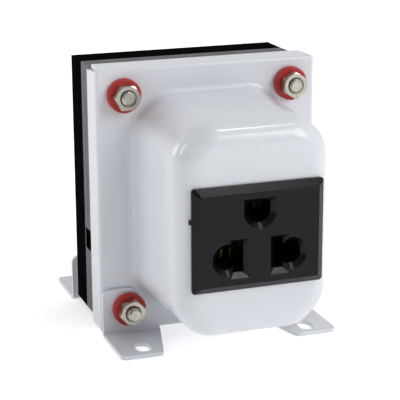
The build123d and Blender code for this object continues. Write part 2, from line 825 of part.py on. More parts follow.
def grommet_solid():
    """Rubber grommet in the panel, a groove between two lips and a bore for the cord."""
    solid = rod(grommet_radius, (panel_y - grommet_lip, panel_y), 0, grommet_height)
    solid = fillet(along_y(solid, panel_y - grommet_lip, grommet_lip_round / 2), grommet_lip_round)
    solid += rod(grommet_neck_radius, (panel_y, panel_y + sheet), 0, grommet_height)
    inner = rod(grommet_radius, (panel_y + sheet, panel_y + sheet + grommet_lip), 0, grommet_height)
    solid += inner
    bore_ys = (panel_y - grommet_lip - overrun, panel_y + sheet + grommet_lip + overrun)
    return solid - rod(grommet_bore_radius, bore_ys, 0, grommet_height)


fuse_holder = on_rear(fuse_holder_solid())
fuse_holder_nut = on_rear(holder_nut_solid())
fuse_end_contact = on_rear(end_contact_solid())
glass_part, first_part, last_part = fuse_solid()
fuse_glass = on_rear(glass_part)
fuse_end_caps = [on_rear(first_part), on_rear(last_part)]
fuse_carrier = on_rear(carrier_solid())
fuse_cap = on_rear(cap_solid())
cord_grommet = on_rear(grommet_solid())
holder_terminal_y = barrel_end_y + end_terminal_length
lead_fuse = on_rear(lead((0, holder_terminal_y, fuse_height), (0, coil_front_y, fuse_height)))


nodes = {
    "core_e_front": core_e_front,
    "core_i_front": core_i_front,
    "core_e_rear": core_e_rear,
    "core_i_rear": core_i_rear,
    "bobbin": bobbin,
    "common_winding": common_winding,
    "winding_paper": winding_paper,
    "series_winding": series_winding,
    "winding_tape": winding_tape,
    "thermal_fuse": thermal_fuse,
    "front_cover": front_cover,
    "rear_cover": rear_cover,
    "foot_front_left": foot_front_left,
    "foot_front_right": foot_front_right,
    "foot_rear_left": foot_rear_left,
    "foot_rear_right": foot_rear_right,
    "clamp_bolts": Compound(bolts),
    "clamp_nuts": Compound(nuts),
    "front_washers": Compound(front_washers),
    "rear_washers": Compound(rear_washers),
    "bolt_sleeves": Compound(sleeves),
    "socket_face": socket_face,
    "socket_base": socket_base,
    "contact_live": contact_live,
    "contact_neutral": contact_neutral,
    "contact_earth": contact_earth,
    "lead_live": lead_live,
    "lead_neutral": lead_neutral,
    "lead_earth": lead_earth,
    "earth_tab": earth_tab,
    "lead_fuse": lead_fuse,
    "fuse_holder": fuse_holder,
    "fuse_holder_nut": fuse_holder_nut,
    "fuse_end_contact": fuse_end_contact,
    "fuse_glass": fuse_glass,
    "fuse_end_caps": Compound(fuse_end_caps),
    "fuse_carrier": fuse_carrier,
    "fuse_cap": fuse_cap,
    "cord_grommet": cord_grommet,
}

os.makedirs("parts", exist_ok=True)
for name, shape in nodes.items():
    export_step(shape, f"parts/{name}.step")
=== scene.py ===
"""Voltage converter: an upright laminated transformer in white drawn covers.

The covers, feet, fasteners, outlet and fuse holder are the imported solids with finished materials.
The core's sheets and the threads on the bolt ends are modelled here.
"""
import math
import random

import bmesh
import bpy
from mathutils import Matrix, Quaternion, Vector


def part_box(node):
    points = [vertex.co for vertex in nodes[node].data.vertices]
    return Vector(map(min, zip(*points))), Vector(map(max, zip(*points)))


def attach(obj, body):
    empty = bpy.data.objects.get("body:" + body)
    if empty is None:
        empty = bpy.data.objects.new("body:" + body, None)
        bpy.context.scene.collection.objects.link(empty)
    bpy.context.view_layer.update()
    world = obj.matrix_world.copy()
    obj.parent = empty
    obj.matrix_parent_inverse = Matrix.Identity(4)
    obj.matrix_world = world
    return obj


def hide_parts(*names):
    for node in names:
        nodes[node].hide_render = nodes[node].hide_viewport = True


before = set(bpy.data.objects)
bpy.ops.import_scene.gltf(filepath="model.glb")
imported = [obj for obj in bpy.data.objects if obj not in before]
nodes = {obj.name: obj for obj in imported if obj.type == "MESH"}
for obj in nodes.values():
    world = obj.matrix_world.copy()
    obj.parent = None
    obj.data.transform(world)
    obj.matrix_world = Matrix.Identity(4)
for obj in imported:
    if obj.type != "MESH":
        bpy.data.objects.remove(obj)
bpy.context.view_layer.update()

bl_info = {
    "name": "Voltage converter",
    "version": (1, 0, 0),
    "blender": (4, 5, 0),
    "location": "3D View > Sidebar > Converter",
    "description": "Dresses the packed voltage converter and sets its stage",
    "category": "Object",
}

MM = 0.001
BODY = "transformer"
core_low, core_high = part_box("core_e_front")

# The lamination's sizes all follow its tongue, a third of its height
TONGUE = (core_high.z - core_low.z) / 3
YOKE = TONGUE / 2
CORE_WIDTH = 2.5 * TONGUE
MIDDLE_Z = (core_high.z + core_low.z) / 2
SHEET_PITCH = 0.5 * MM
COVER_SHEET = 1.0 * MM
FLANGE_Y = core_low.y - COVER_SHEET
BOLT_X = (CORE_WIDTH - YOKE) / 2
BOLT_Z = (3 * TONGUE - YOKE) / 2
BOLT_RADIUS = 2.0 * MM

# Vertices this close are one, and edges flatter than this many degrees are shaded smooth
MERGE_WITHIN = 0.002 * MM
SMOOTH_BELOW = 35

# Camera, measured from the middle of the front flange, as found from the photograph
CAMERA_FROM_FLANGE = Vector((-139.95, -385.25, 116.19)) * MM
CAMERA_AZIMUTH = math.radians(-19.64)
CAMERA_ELEVATION = math.radians(16.04)
CAMERA_ROLL = math.radians(-0.25)
FOCAL_PIXELS = 1448.8
IMAGE_PIXELS = 400
SENSOR_MM = 36.0
CLIP_START = 0.01

# Each light's name, place, width, height and power, in metres and watts. The key and the left
# light stand so far apart that the dome's rounded edge between them stays dim. A tall window
# gives that edge its glint, and a small lamp above lights the facets of the outlet's holes
LIGHTS = (
    ("key", (0.9, -1.05, 0.75), 0.8, 0.8, 8.7),
    ("left", (-0.8, 0.75, 0.35), 0.5, 0.5, 2.1),
    ("glint", (-0.75, 0.02, 0.5), 0.08, 0.4, 1.0),
    ("top", (0.33, -0.34, 0.93), 0.1, 0.1, 0.5),
)

# Short names for the nodes that most finishes use
NOISE = "ShaderNodeTexNoise"
RAMP = "ShaderNodeValToRGB"
RANGE = "ShaderNodeMapRange"
BUMP = "ShaderNodeBump"
SHADER = "ShaderNodeBsdfPrincipled"

# Detail and roughness of a plain soft noise
SOFT = {"Detail": 3.0, "Roughness": 0.55}

# A mix node's colour sockets share their names with others, so they go by number
MIX_A, MIX_B, MIX_RESULT = 6, 7, 2


# Colour and node helpers

def linear(text):
    """An sRGB hex colour as linear red, green, blue."""
    channels = [int(text[i:i + 2], 16) / 255 for i in (0, 2, 4)]
    return tuple(c / 12.92 if c <= 0.04045 else ((c + 0.055) / 1.055) ** 2.4 for c in channels)


def rgba(colour):
    """A linear colour with full alpha."""
    return (*tuple(colour)[:3], 1.0)


def shade(colour, share):
    """A colour made lighter or darker by a share."""
    return tuple(c * share for c in tuple(colour)[:3])


def add_node(tree, kind, inputs=None, stops=(), **settings):
    """Adds a node with its settings and a ramp's stops, and sets or links its inputs.

    A node that is given as an input stands for its first output.
    """
    made = tree.nodes.new(kind)
    for name, value in settings.items():
        setattr(made, name, value)
    for i, (position, colour) in enumerate(stops):
        made.color_ramp.elements[i].position = position
        made.color_ramp.elements[i].color = rgba(colour)
    for name, value in (inputs or {}).items():
        if isinstance(value, bpy.types.Node):
            value = value.outputs[0]
        if isinstance(value, bpy.types.NodeSocket):
            tree.links.new(value, made.inputs[name])
        else:
            made.inputs[name].default_value = value
    return made


def start_material(name):
    """An empty material, its tree and the object coordinates in metres."""
    material = bpy.data.materials.new(name)
    material.use_nodes = True
    tree = material.node_tree
    tree.nodes.clear()
    place = add_node(tree, "ShaderNodeTexCoord").outputs["Object"]
    return material, tree, place


def end_material(material, tree, surface):
    """Links the shader to the output."""
    add_node(tree, "ShaderNodeOutputMaterial", {"Surface": surface})
    return material


# Materials, each named for its real finish

def gloss_enamel_on_drawn_steel(colour):
    """Sprayed stove enamel: an even off-white, a clear gloss and a faint orange peel."""
    material, tree, place = start_material("gloss enamel on drawn steel")
    # Colour drifts by a few percent over some 20 mm, as thin and thick coats do
    coats = add_node(tree, NOISE, {"Vector": place, "Scale": 1 / (20 * MM), **SOFT})
    drift = add_node(tree, RAMP, {"Fac": coats}, [(0.35, shade(colour, 0.975)), (0.65, colour)])
    # Sparse specks of dust under the coat, about 0.5 mm across
    dust = add_node(tree, NOISE, {"Vector": place, "Scale": 1 / (1.6 * MM), **SOFT, "Detail": 1.0})
    specks = add_node(tree, RANGE, {"Value": dust, "From Min": 0.74, "From Max": 0.80})
    speckled = add_node(tree, "ShaderNodeMix", {
        "Factor": specks, MIX_A: drift, MIX_B: rgba(shade(colour, 0.93))}, data_type="RGBA")
    # Orange peel is 1 to 3 mm across and a few micrometres deep
    peel = add_node(tree, NOISE, {"Vector": place, "Scale": 1 / (2.4 * MM), **SOFT, "Detail": 2.0})
    bump = add_node(tree, BUMP, {"Height": peel, "Distance": 0.006 * MM, "Strength": 0.6})
    sheen = add_node(tree, NOISE, {"Vector": place, "Scale": 1 / (8 * MM), **SOFT})
    surface = add_node(tree, SHADER, {
        "Base Color": speckled.outputs[MIX_RESULT],
        "Roughness": add_node(tree, RANGE, {"Value": sheen, "To Min": 0.30, "To Max": 0.38}),
        "IOR": 1.5,
        "Coat Weight": 0.6,
        "Coat Roughness": 0.09,
        "Coat IOR": 1.5,
        "Normal": bump,
        "Coat Normal": bump,
    })
    return end_material(material, tree, surface)


def silicon_steel_sheet_edges(colour):
    """Punched edges of silicon steel: dull grey, each sheet's burr a little brighter."""
    material, tree, place = start_material("silicon steel sheet edges")
    # Tone changes along Y from sheet to sheet, and in stains of about 9 mm
    along = add_node(tree, "ShaderNodeMapping", {"Vector": place, "Scale": (0.06, 1.0, 0.06)})
    sheets = add_node(
        tree, NOISE, {"Vector": along, "Scale": 1 / SHEET_PITCH, **SOFT, "Detail": 1.0})
    stain = add_node(tree, NOISE, {"Vector": place, "Scale": 1 / (9 * MM), **SOFT, "Detail": 4.0})
    total = add_node(tree, "ShaderNodeMath", {0: sheets, 1: stain}, operation="ADD")
    mean = add_node(tree, "ShaderNodeMath", {0: total, 1: 0.5}, operation="MULTIPLY")
    surface = add_node(tree, SHADER, {
        "Base Color": add_node(
            tree, RAMP, {"Fac": mean}, [(0.36, shade(colour, 0.72)), (0.64, shade(colour, 1.18))]),
        "Metallic": 0.15,
        "Roughness": add_node(tree, RANGE, {"Value": stain, "To Min": 0.48, "To Max": 0.62}),
        "Normal": add_node(tree, BUMP, {"Height": sheets, "Distance": 0.04 * MM, "Strength": 0.5}),
    })
    return end_material(material, tree, surface)


def black_varnish_on_laminations(colour):
    """Baked insulating varnish: near black and dull, sheets just readable through it."""
    material, tree, place = start_material("black varnish on laminations")
    along = add_node(tree, "ShaderNodeMapping", {"Vector": place, "Scale": (0.08, 1.0, 0.08)})
    sheets = add_node(
        tree, NOISE, {"Vector": along, "Scale": 1 / SHEET_PITCH, **SOFT, "Detail": 1.0})
    # Varnish runs and pools in blotches of about 5 mm
    runs = add_node(tree, NOISE, {"Vector": place, "Scale": 1 / (5 * MM), **SOFT})
    surface = add_node(tree, SHADER, {
        "Base Color": add_node(
            tree, RAMP, {"Fac": runs}, [(0.4, colour), (0.7, shade(colour, 1.6))]),
        "Roughness": add_node(tree, RANGE, {"Value": runs, "To Min": 0.5, "To Max": 0.62}),
        "Specular IOR Level": 0.0,
        "Normal": add_node(tree, BUMP, {"Height": sheets, "Distance": 0.03 * MM, "Strength": 0.5}),
    })
    return end_material(material, tree, surface)


def vulcanised_fibre(colour):
    """Red vulcanised fibre: dense pressed paper, matt with a faint mottle and fibres."""
    material, tree, place = start_material("vulcanised fibre")
    # The pressed fibres lie in a mottle of about 1 mm
    mottle = add_node(tree, NOISE, {
        "Vector": place, "Scale": 1 / (1.2 * MM), "Detail": 5.0, "Roughness": 0.7})
    surface = add_node(tree, SHADER, {
        "Base Color": add_node(
            tree, RAMP, {"Fac": mottle}, [(0.3, shade(colour, 0.78)), (0.75, shade(colour, 1.15))]),
        "Roughness": add_node(tree, RANGE, {"Value": mottle, "To Min": 0.42, "To Max": 0.58}),
        "IOR": 1.54,
        "Normal": add_node(tree, BUMP, {"Height": mottle, "Distance": 0.03 * MM, "Strength": 0.5}),
    })
    return end_material(material, tree, surface)


def nickel_plated_steel(colour):
    """Warm nickel on rolled steel: bright, with cloudy patches and fine turning marks."""
    material, tree, place = start_material("nickel plated steel")
    # The plating clouds over about 1.5 mm. The turning marks are four times as fine along the bolt
    cloud = add_node(tree, NOISE, {"Vector": place, "Scale": 1 / (1.5 * MM), **SOFT, "Detail": 4.0})
    along = add_node(tree, "ShaderNodeMapping", {"Vector": place, "Scale": (1.0, 4.0, 1.0)})
    marks = add_node(tree, NOISE, {"Vector": along, "Scale": 1 / (0.5 * MM), **SOFT, "Detail": 2.0})
    surface = add_node(tree, SHADER, {
        "Base Color": add_node(
            tree, RAMP, {"Fac": cloud}, [(0.3, shade(colour, 0.8)), (0.7, colour)]),
        "Metallic": 1.0,
        "Roughness": add_node(tree, RANGE, {"Value": cloud, "To Min": 0.2, "To Max": 0.38}),
        "Normal": add_node(tree, BUMP, {"Height": marks, "Distance": 0.015 * MM, "Strength": 0.6}),
    })
    return end_material(material, tree, surface)


def moulded_plastic(name, colour, roughness, grain_size, specular=0.5):
    """Moulded dark plastic: even colour, and the fine spark grain of its mould."""
    material, tree, place = start_material(name)
    # The mould's grain is a few micrometres deep, and the colour drifts over some 12 mm
    grain = add_node(tree, NOISE, {"Vector": place, "Scale": 1 / grain_size, **SOFT, "Detail": 2.0})
    drift = add_node(tree, NOISE, {"Vector": place, "Scale": 1 / (12 * MM), **SOFT})
    surface = add_node(tree, SHADER, {
        "Base Color": add_node(
            tree, RAMP, {"Fac": drift}, [(0.35, shade(colour, 0.92)), (0.65, shade(colour, 1.08))]),
        "Roughness": add_node(
            tree, RANGE, {"Value": drift, "To Min": roughness - 0.03, "To Max": roughness + 0.05}),
        "Specular IOR Level": specular,
        "Normal": add_node(tree, BUMP, {"Height": grain, "Distance": 0.006 * MM, "Strength": 0.5}),
    })
    return end_material(material, tree, surface)


def bright_metal(name, colour, roughness):
    """Rolled or drawn bright metal: a mirror dulled a little by its clouded skin."""
    material, tree, place = start_material(name)
    # Clouds of tarnish are about 2 mm across
    cloud = add_node(tree, NOISE, {"Vector": place, "Scale": 1 / (1.8 * MM), **SOFT, "Detail": 4.0})
    surface = add_node(tree, SHADER, {
        "Base Color": add_node(
            tree, RAMP, {"Fac": cloud}, [(0.3, shade(colour, 0.82)), (0.7, colour)]),
        "Metallic": 1.0,
        "Roughness": add_node(
            tree, RANGE, {"Value": cloud, "To Min": roughness - 0.06, "To Max": roughness + 0.08}),
        "Normal": add_node(tree, BUMP, {"Height": cloud, "Distance": 0.01 * MM, "Strength": 0.4}),
    })
    return end_material(material, tree, surface)


def soft_sheet(name, colour, roughness, fibre_size):
    """Paper, tape, nylon or rubber: matt, with a tone that varies over its own grain."""
    material, tree, place = start_material(name)
    fibre = add_node(tree, NOISE, {
        "Vector": place, "Scale": 1 / fibre_size, "Detail": 5.0, "Roughness": 0.65})
    surface = add_node(tree, SHADER, {
        "Base Color": add_node(
            tree, RAMP, {"Fac": fibre}, [(0.3, shade(colour, 0.85)), (0.7, shade(colour, 1.08))]),
        "Roughness": add_node(
            tree, RANGE, {"Value": fibre, "To Min": roughness - 0.05, "To Max": roughness + 0.05}),
        "Normal": add_node(tree, BUMP, {"Height": fibre, "Distance": 0.03 * MM, "Strength": 0.4}),
    })
    return end_material(material, tree, surface)


def wound_copper_wire(colour):
    """Enamelled copper wire in layers: glossy red-brown turns side by side along X, with painted
    shade in the grooves between them.
    """
    material, tree, place = start_material("enamelled copper wire")
    wire = 0.8 * MM
    # One band is one turn of wire. The node's wave turns by 20 radians per unit of length
    turns = add_node(tree, "ShaderNodeTexWave", {
        "Vector": place, "Scale": math.tau / (20 * wire), "Distortion": 0.2},
        wave_type="BANDS", bands_direction="X").outputs["Fac"]
    surface = add_node(tree, SHADER, {
        # Painted shade: the colour darkens to a third in the grooves between the turns
        "Base Color": add_node(
            tree, RAMP, {"Fac": turns}, [(0.0, shade(colour, 0.35)), (0.8, colour)]),
        "Metallic": 0.85,
        "Roughness": 0.3,
        "Coat Weight": 0.6,
        "Coat Roughness": 0.12,
        "Normal": add_node(tree, BUMP, {"Height": turns, "Distance": wire / 2, "Strength": 1.0}),
    })
    return end_material(material, tree, surface)


def clear_glass():
    """Drawn soda glass: clear, with a slight green in its thickness."""
    material, tree, place = start_material("clear drawn glass")
    # Drawing leaves waves of about 3 mm in the gloss
    draw = add_node(tree, NOISE, {"Vector": place, "Scale": 1 / (3 * MM), **SOFT})
    surface = add_node(tree, SHADER, {
        "Base Color": rgba(linear("F2FAF7")),
        "Roughness": add_node(tree, RANGE, {"Value": draw, "To Min": 0.02, "To Max": 0.05}),
        "IOR": 1.52,
        "Transmission Weight": 0.92,
    })
    return end_material(material, tree, surface)


# Mesh helpers

def deselect():
    """Leaves nothing selected and no mode but object mode."""
    if bpy.context.object and bpy.context.object.mode != "OBJECT":
        bpy.ops.object.mode_set(mode="OBJECT")
    bpy.ops.object.select_all(action="DESELECT")


def select(*pieces):
    """Selects these pieces alone and makes the first one active."""
    deselect()
    for piece in pieces:
        piece.select_set(True)
    bpy.context.view_layer.objects.active = pieces[0]


def pick_faces(chosen):
    """Selects the faces of the mesh in edit mode for which chosen(face) is true."""
    mesh = bmesh.from_edit_mesh(bpy.context.object.data)
    bpy.ops.mesh.select_all(action="DESELECT")
    for face in mesh.faces:
        face.select_set(bool(chosen(face)))
    mesh.select_flush_mode()
    bmesh.update_edit_mesh(bpy.context.object.data)


def settle(piece, angle=SMOOTH_BELOW):
    """Gives a finished piece its place in its mesh, outward faces and smooth shading by angle."""
    select(piece)
    bpy.ops.object.transform_apply(location=True, rotation=True, scale=True)
    bpy.ops.object.mode_set(mode="EDIT")
    bpy.ops.mesh.select_all(action="SELECT")
    bpy.ops.mesh.remove_doubles(threshold=MERGE_WITHIN)
    bpy.ops.mesh.normals_make_consistent(inside=False)
    bpy.ops.object.mode_set(mode="OBJECT")
    bpy.ops.object.shade_smooth_by_angle(angle=math.radians(angle))


def paint(piece, material):
    """Puts one material on a piece."""
    piece.data.materials.clear()
    piece.data.materials.append(material)


def copies(source, shifts):
    """Copies of a piece, each with its own mesh, joined with it into one object."""
    made = []
    for shift in shifts:
        twin = source.copy()
        twin.data = source.data.copy()
        twin.location = source.location + shift
        bpy.context.scene.collection.objects.link(twin)
        made.append(twin)
    select(source, *made)
    bpy.ops.object.join()


# Core sheets

def outline_sheet(name, left, right, thickness, leg_ends=None):
    """One punched sheet standing across Y. An E has its two windows open between its leg ends."""
    deselect()
    bpy.ops.mesh.primitive_plane_add(size=1)
    sheet = bpy.context.object
    sheet.name = name
    bpy.ops.object.mode_set(mode="EDIT")
    bpy.ops.mesh.select_all(action="SELECT")
    bpy.ops.transform.resize(value=(right - left, 3 * TONGUE, 1))
    bpy.ops.transform.rotate(value=math.radians(90), orient_axis="X", center_override=(0, 0, 0))
    bpy.ops.transform.translate(value=((left + right) / 2, 0, 0))
    if leg_ends:
        low, high = sorted(leg_ends)
        cuts = [((0, 0, z), (0, 0, 1)) for z in (-TONGUE, -YOKE, YOKE, TONGUE)]
        cuts += [((x, 0, 0), (1, 0, 0)) for x in leg_ends if left < x < right]
        for place, normal in cuts:
            bpy.ops.mesh.select_all(action="SELECT")
            bpy.ops.mesh.bisect(plane_co=place, plane_no=normal)
        pick_faces(lambda face: YOKE < abs(face.calc_center_median().z) < TONGUE
                   and low < face.calc_center_median().x < high)
        bpy.ops.mesh.delete(type="FACE")
    bpy.ops.mesh.select_all(action="SELECT")
    bpy.ops.mesh.extrude_region_move(TRANSFORM_OT_translate={"value": (0, thickness, 0)})
    bpy.ops.object.mode_set(mode="OBJECT")
    return sheet


def sheet_stack(name, node_e, node_i, material, sizes, seed):
    """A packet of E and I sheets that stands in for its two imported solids."""
    low_e, high_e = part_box(node_e)
    low_i, high_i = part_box(node_i)
    depth = high_e.y - low_e.y
    count = max(1, round(depth / sizes.sheet_pitch))
    step = depth / count
    thickness = step - sizes.sheet_gap
    # The seam between an E and its I, and how far a sheet slips out of line
    seam = 0.02 * MM
    slip = 0.04 * MM
    if low_e.x < low_i.x:
        left, right = low_e.x, high_e.x - seam
        leg_ends = (left + YOKE, right)
    else:
        left, right = low_e.x + seam, high_e.x
        leg_ends = (right - YOKE, left)
    e_sheet = outline_sheet(name, left, right, thickness, leg_ends)
    i_sheet = outline_sheet(name + "_closer", low_i.x, high_i.x, thickness)
    select(e_sheet, i_sheet)
    bpy.ops.object.join()
    e_sheet.location = (0, low_e.y + sizes.sheet_gap / 2, MIDDLE_Z)
    jitter = random.Random(seed)
    copies(e_sheet, [
        Vector((jitter.uniform(-slip, slip), i * step, jitter.uniform(-slip, slip)))
        for i in range(1, count)])
    settle(e_sheet)
    paint(e_sheet, material)
    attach(e_sheet, BODY)
    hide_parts(node_e, node_i)
    return e_sheet


def cut_notch(stack, sizes, notch_shade_material):
    """The locating notch in the left edge of the front packet, its faces near black as painted
    shade of the recess.
    """
    rear = core_high.y - sizes.notch_inset
    front = rear - sizes.notch_width
    middle = MIDDLE_Z - sizes.notch_drop
    deselect()
    bpy.ops.mesh.primitive_cube_add(size=1, location=(core_low.x, (front + rear) / 2, middle))
    cutter = bpy.context.object
    # Painted shade: the cut faces take the near-black varnish so that the recess reads dark
    cutter.data.materials.append(notch_shade_material)
    cutter.scale = (2 * sizes.notch_depth, sizes.notch_width, sizes.notch_height)
    bpy.ops.object.transform_apply(location=False, rotation=False, scale=True)
    select(stack)
    cut = stack.modifiers.new("notch", "BOOLEAN")
    cut.operation = "DIFFERENCE"
    cut.solver = "EXACT"
    cut.material_mode = "TRANSFER"
    cut.object = cutter
    bpy.ops.object.modifier_apply(modifier=cut.name)
    bpy.data.objects.remove(cutter)


# Threads

def bolt_end(x, z):
    """The bolt's tip and the nut's outer face at a corner, along Y."""
    near = 6 * MM
    return [min(vertex.co.y for vertex in nodes[name].data.vertices
                if abs(vertex.co.x - x) < near and abs(vertex.co.z - z) < near)
            for name in ("clamp_bolts", "clamp_nuts")]


def thread_turns(material, pitch):
    """Thread crests on the bolt ends that stand out of the nuts, one ring for each turn."""
    tip_chamfer = 0.45 * MM
    root_depth = 0.1 * MM
    crest_height = 0.07 * MM
    crest_angle = 60
    # The first turn stands this share of a pitch outside the nut, and each leans as a helix does
    first_turn = 0.6
    upright = math.radians(90)
    helix = math.radians(2.5)
    corners = [(side * BOLT_X, MIDDLE_Z + level * BOLT_Z) for side in (-1, 1) for level in (-1, 1)]
    places = []
    for x, z in corners:
        tip, nut_face = bolt_end(x, z)
        count = int((nut_face - tip - tip_chamfer) / pitch)
        places += [Vector((x, nut_face - (i + first_turn) * pitch, z)) for i in range(count)]
    deselect()
    bpy.ops.mesh.primitive_torus_add(
        major_radius=BOLT_RADIUS - root_depth, minor_radius=root_depth + crest_height,
        major_segments=40, minor_segments=8,
        location=places[0], rotation=(upright + helix, 0, 0))
    threads = bpy.context.object
    threads.name = "bolt_threads"
    copies(threads, [place - places[0] for place in places[1:]])
    settle(threads, crest_angle)
    paint(threads, material)
    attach(threads, BODY)


# Sizes and colours that a user would change

class ConverterSizes(bpy.types.PropertyGroup):
    """Sizes of the pieces that are modelled here."""
    sheet_pitch: bpy.props.FloatProperty(
        name="Sheet pitch", description="Thickness of one lamination",
        default=SHEET_PITCH, unit="LENGTH")
    sheet_gap: bpy.props.FloatProperty(
        name="Sheet gap", description="Varnish gap between laminations",
        default=0.04 * MM, unit="LENGTH")
    notch_width: bpy.props.FloatProperty(
        name="Notch width", description="Notch along the stack",
        default=6.0 * MM, unit="LENGTH")
    notch_height: bpy.props.FloatProperty(
        name="Notch height", description="Notch along the edge",
        default=6.4 * MM, unit="LENGTH")
    notch_depth: bpy.props.FloatProperty(
        name="Notch depth", description="Notch into the edge",
        default=1.6 * MM, unit="LENGTH")
    notch_drop: bpy.props.FloatProperty(
        name="Notch drop", description="Notch below the middle",
        default=15.6 * MM, unit="LENGTH")
    notch_inset: bpy.props.FloatProperty(
        name="Notch inset", description="Notch from the packet's rear",
        default=0.6 * MM, unit="LENGTH")
    thread_pitch: bpy.props.FloatProperty(
        name="Thread pitch", description="Pitch of the clamp bolts",
        default=0.7 * MM, unit="LENGTH")
    floor_width: bpy.props.FloatProperty(
        name="Floor width", description="Width of the pale floor",
        default=6.0, unit="LENGTH")


class ConverterColours(bpy.types.PropertyGroup):
    """Main colours of the finishes."""
    enamel: bpy.props.FloatVectorProperty(
        name="Enamel", description="Covers and feet", subtype="COLOR", default=linear("E2E5EB"))
    bare_steel: bpy.props.FloatVectorProperty(
        name="Sheet edges", description="Front packet", subtype="COLOR", default=linear("6A6A6F"))
    varnish: bpy.props.FloatVectorProperty(
        name="Varnish", description="Rear packet", subtype="COLOR", default=linear("0C0C0E"))
    fibre: bpy.props.FloatVectorProperty(
        name="Fibre", description="Washers", subtype="COLOR", default=linear("B8231B"))
    nickel: bpy.props.FloatVectorProperty(
        name="Nickel", description="Bolts and nuts", subtype="COLOR", default=linear("CECABF"))
    outlet: bpy.props.FloatVectorProperty(
        name="Outlet", description="Outlet plate", subtype="COLOR", default=linear("07070E"))


# Operators, one for each group of pieces and one for the stage

class CONVERTER_OT_stage(bpy.types.Operator):
    """Sets the floor, the soft lights and the camera at the photograph's angle"""
    bl_idname = "converter.stage"
    bl_label = "Set the stage"

    def execute(self, context):
        set_floor(context.scene.converter_sizes.floor_width)
        set_surround(context.scene)
        for light in LIGHTS:
            area_light(*light)
        set_camera(context.scene)
        return {"FINISHED"}


class CONVERTER_OT_core(bpy.types.Operator):
    """Stacks the core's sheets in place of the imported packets"""
    bl_idname = "converter.core"
    bl_label = "Stack the core"

    def execute(self, context):
        sizes = context.scene.converter_sizes
        colours = context.scene.converter_colours
        bare = silicon_steel_sheet_edges(colours.bare_steel)
        dark = black_varnish_on_laminations(colours.varnish)
        front = sheet_stack("front_sheets", "core_e_front", "core_i_front", bare, sizes, seed=3)
        # The notch's faces take the rear packet's varnish, which paints the shade of the recess
        cut_notch(front, sizes, dark)
        rear = sheet_stack("rear_sheets", "core_e_rear", "core_i_rear", dark, sizes, seed=4)
        return {"FINISHED"}


class CONVERTER_OT_covers(bpy.types.Operator):
    """Enamels the two covers and the four feet"""
    bl_idname = "converter.covers"
    bl_label = "Enamel the covers"

    def execute(self, context):
        enamel = gloss_enamel_on_drawn_steel(context.scene.converter_colours.enamel)
        names = ["front_cover", "rear_cover"]
        names += [f"foot_{end}_{side}" for end in ("front", "rear") for side in ("left", "right")]
        for name in names:
            paint(nodes[name], enamel)
        return {"FINISHED"}


class CONVERTER_OT_fasteners(bpy.types.Operator):
    """Finishes the bolts, nuts and washers and adds the threads"""
    bl_idname = "converter.fasteners"
    bl_label = "Finish the fasteners"

    def execute(self, context):
        colours = context.scene.converter_colours
        nickel = nickel_plated_steel(colours.nickel)
        fibre = vulcanised_fibre(colours.fibre)
        for name in ("clamp_bolts", "clamp_nuts"):
            paint(nodes[name], nickel)
        for name in ("front_washers", "rear_washers"):
            paint(nodes[name], fibre)
        thread_turns(nickel, context.scene.converter_sizes.thread_pitch)
        return {"FINISHED"}


class CONVERTER_OT_outlet(bpy.types.Operator):
    """Finishes the outlet, its base and its contacts"""
    bl_idname = "converter.outlet"
    bl_label = "Finish the outlet"

    def execute(self, context):
        # Urea moulding: satin black with a spark grain, drawn 0.4 mm across so that it shows
        black = moulded_plastic(
            "satin moulded urea", context.scene.converter_colours.outlet, 0.23, 0.4 * MM, 0.26)
        # Brass, darkened as painted shade for the contacts that sit deep in the outlet's holes
        brass = bright_metal("spring brass", linear("9C7B3E"), 0.4)
        for name in ("socket_face", "socket_base"):
            paint(nodes[name], black)
        for name in ("contact_live", "contact_neutral", "contact_earth", "earth_tab"):
            paint(nodes[name], brass)
        return {"FINISHED"}


class CONVERTER_OT_rear_fittings(bpy.types.Operator):
    """Finishes the fuse holder, the fuse and the cord grommet"""
    bl_idname = "converter.rear_fittings"
    bl_label = "Finish the rear fittings"

    def execute(self, context):
        phenolic = moulded_plastic("moulded phenolic", linear("202021"), 0.34, 0.6 * MM)
        rubber = soft_sheet("moulded rubber", linear("1C1C1D"), 0.72, 0.8 * MM)
        plated = bright_metal("nickel plated brass", linear("D8D2C4"), 0.24)
        brass = bright_metal("drawn brass", linear("CDA656"), 0.3)
        for name in ("fuse_holder", "fuse_holder_nut", "fuse_cap"):
            paint(nodes[name], phenolic)
        for name in ("fuse_end_caps", "fuse_carrier"):
            paint(nodes[name], plated)
        paint(nodes["fuse_end_contact"], brass)
        paint(nodes["fuse_glass"], clear_glass())
        paint(nodes["cord_grommet"], rubber)
        return {"FINISHED"}


class CONVERTER_OT_inside(bpy.types.Operator):
    """Finishes the winding, its bobbin and the leads inside the covers"""
    bl_idname = "converter.inside"
    bl_label = "Finish the inside"

    def execute(self, context):
        copper = wound_copper_wire(linear("B8632F"))
        finishes = {
            "bobbin": soft_sheet("moulded nylon", linear("DCD8CB"), 0.45, 2.0 * MM),
            "winding_paper": soft_sheet("insulating paper", linear("C4B187"), 0.8, 0.7 * MM),
            "winding_tape": soft_sheet("polyester tape", linear("D9AE2A"), 0.35, 3.0 * MM),
            "bolt_sleeves": soft_sheet("varnished paper tube", linear("8A6A3C"), 0.4, 1.0 * MM),
            "lead_live": soft_sheet("red lead sheath", linear("A51F1C"), 0.4, 2.0 * MM),
            "lead_neutral": soft_sheet("black lead sheath", linear("1B1B1B"), 0.4, 2.0 * MM),
            "lead_earth": soft_sheet("green lead sheath", linear("2E7D32"), 0.4, 2.0 * MM),
            "lead_fuse": soft_sheet("black fuse lead sheath", linear("1E1E1E"), 0.4, 2.0 * MM),
            "thermal_fuse": bright_metal("drawn aluminium can", linear("D5D6D8"), 0.32),
            "common_winding": copper,
            "series_winding": copper,
        }
        for name, material in finishes.items():
            paint(nodes[name], material)
        return {"FINISHED"}


# Stage

